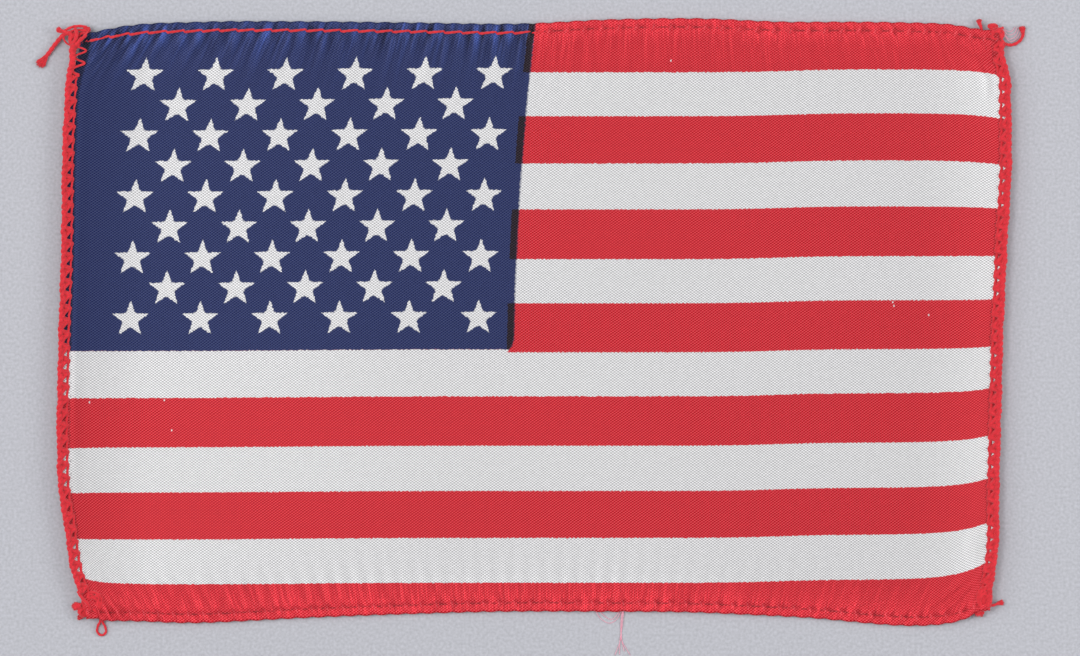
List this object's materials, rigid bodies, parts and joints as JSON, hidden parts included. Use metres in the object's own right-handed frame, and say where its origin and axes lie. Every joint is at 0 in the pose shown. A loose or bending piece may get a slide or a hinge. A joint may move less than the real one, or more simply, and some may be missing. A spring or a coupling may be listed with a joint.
{
  "type": "small printed cloth flag, laid flat and frayed at its sewn corners",
  "caption": "Small printed cloth flag lying flat, with puckered turned hems, overlocked side edges and frayed corner threads.",
  "frame": {"origin": "under the middle of the cloth, on the surface that it lies on", "axes": "+X along the stripes, away from the canton; +Y towards the top hem; +Z out of the printed face"},
  "size_m": [0.1605, 0.1005, 0.0025],
  "materials": {
    "printed_cloth": "satin plain-weave polyester, printed in red, white and blue",
    "red_thread": "bright red spun sewing thread, fluffy at its cut ends"
  },
  "bodies": {
    "root": {"flag_cloth": "printed_cloth", "edging_left": "red_thread", "edging_right": "red_thread", "thread_knot_top_left": "red_thread", "thread_knot_top_right": "red_thread", "thread_knot_bottom_left": "red_thread", "thread_knot_bottom_right": "red_thread"}
  },
  "joints": []
}
